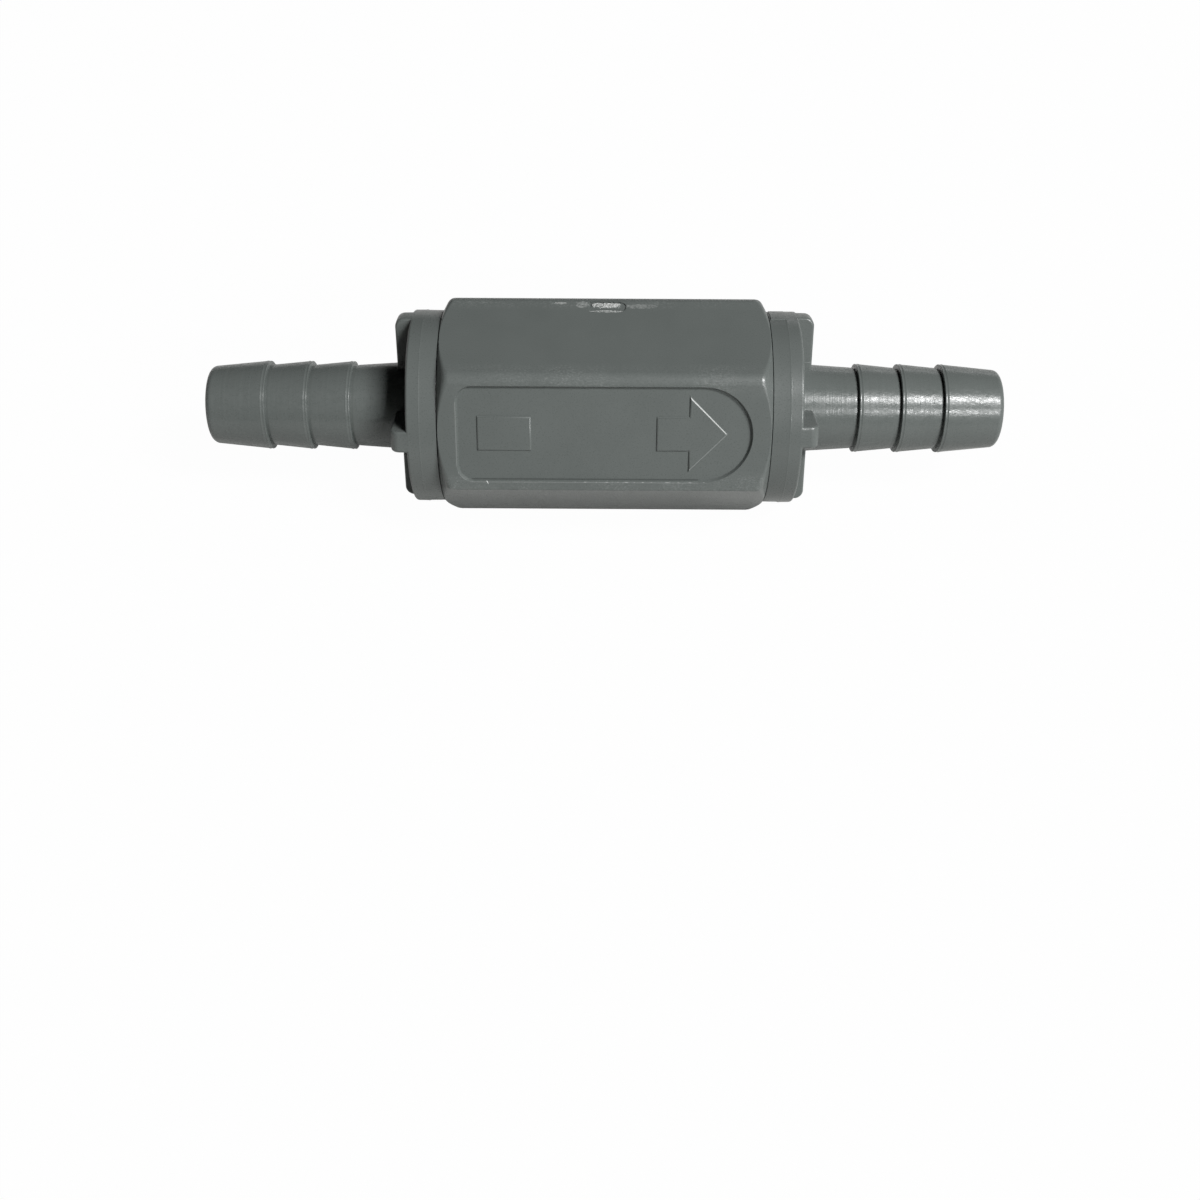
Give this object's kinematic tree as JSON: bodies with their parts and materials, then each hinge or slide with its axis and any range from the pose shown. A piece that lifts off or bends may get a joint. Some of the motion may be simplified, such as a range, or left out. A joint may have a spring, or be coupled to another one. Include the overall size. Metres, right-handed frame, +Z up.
{
  "type": "inline non-return valve",
  "caption": "Moulded grey inline non-return valve with a hexagonal body, ribbed end caps, ridged hose barbs and a spring-closed soft-seated poppet inside.",
  "frame": {"origin": "middle of the valve on its bore axis", "axes": "+X along the flow, out of the outlet barb; +Z up, with the body lying on one flat; +Y to the back, away from the flat with the flow arrow"},
  "size_m": [0.125, 0.0352, 0.0306],
  "materials": {
    "pvc": "injection-moulded grey PVC, semi-gloss, fine moulding texture",
    "seal_rubber": "moulded black nitrile, dull",
    "acetal": "machined natural acetal, satin",
    "stainless": "drawn and turned stainless steel, bright"
  },
  "bodies": {
    "housing": {"hex_body": "pvc", "inlet_end": "pvc", "outlet_end": "pvc", "inlet_o_ring": "seal_rubber", "outlet_o_ring": "seal_rubber", "seat_ring": "acetal", "seat_o_ring": "seal_rubber", "stem_guide": "acetal", "closing_spring": "stainless"},
    "poppet_group": {"poppet": "acetal", "poppet_seal": "seal_rubber", "seal_retainer": "stainless", "retainer_screw": "stainless"}
  },
  "joints": [
    {"name": "poppet_slide", "type": "slide", "parent": "housing", "child": "poppet_group", "axis": [1, 0, 0], "range_m": [0, 0.005], "stiffness_N_per_m": 180, "springref_m": -0.003, "deforming": ["closing_spring"]}
  ]
}
